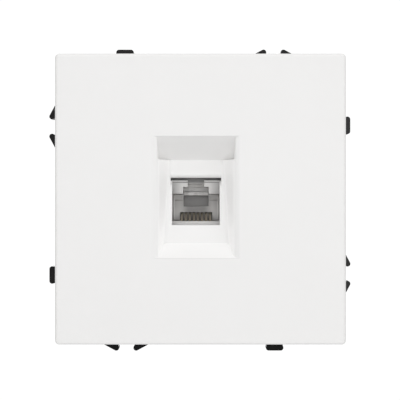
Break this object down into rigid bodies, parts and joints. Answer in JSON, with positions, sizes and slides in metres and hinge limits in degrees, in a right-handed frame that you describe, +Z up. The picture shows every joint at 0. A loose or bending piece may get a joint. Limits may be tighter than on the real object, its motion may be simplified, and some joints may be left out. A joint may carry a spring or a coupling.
{
  "type": "ethernet socket insert",
  "caption": "Flush network socket insert: square white centre plate with a sloping recess and one eight-way jack, on a black snap-in carrier with a steel support plate.",
  "frame": {"origin": "middle of the insert on the wall plane, at the back face of the support plate, centred between the wall screw slots", "axes": "+Y into the wall, so the front faces -Y; +X to the right and +Z up as seen from the front"},
  "size_m": [0.0734, 0.0369, 0.0734],
  "materials": {
    "cover_white": "satin moulded white plastic",
    "carrier_black": "matt black moulded plastic",
    "zinc_steel": "zinc plated pressed steel",
    "housing_grey": "dark grey moulded plastic",
    "socket_grey": "light grey moulded plastic",
    "comb_grey": "grey moulded plastic",
    "board_green": "green solder resist",
    "terminal_white": "natural white moulded plastic",
    "screw_steel": "zinc plated steel",
    "contact_gold": "gold flashed spring bronze",
    "blade_tin": "tin plated bronze"
  },
  "bodies": {
    "root": {"front_cover": "cover_white", "carrier_frame": "carrier_black", "support_plate": "zinc_steel", "module_housing": "housing_grey", "jack_shell": "socket_grey", "contact_comb": "comb_grey", "circuit_board": "board_green", "terminal_block_left": "terminal_white", "terminal_block_right": "terminal_white", "frame_screws": "screw_steel", "board_screws": "screw_steel", "contact_wire_1": "contact_gold", "contact_wire_2": "contact_gold", "contact_wire_3": "contact_gold", "contact_wire_4": "contact_gold", "contact_wire_5": "contact_gold", "contact_wire_6": "contact_gold", "contact_wire_7": "contact_gold", "contact_wire_8": "contact_gold", "terminal_blade_1": "blade_tin", "terminal_blade_2": "blade_tin", "terminal_blade_3": "blade_tin", "terminal_blade_4": "blade_tin", "terminal_blade_5": "blade_tin", "terminal_blade_6": "blade_tin", "terminal_blade_7": "blade_tin", "terminal_blade_8": "blade_tin"}
  },
  "joints": []
}
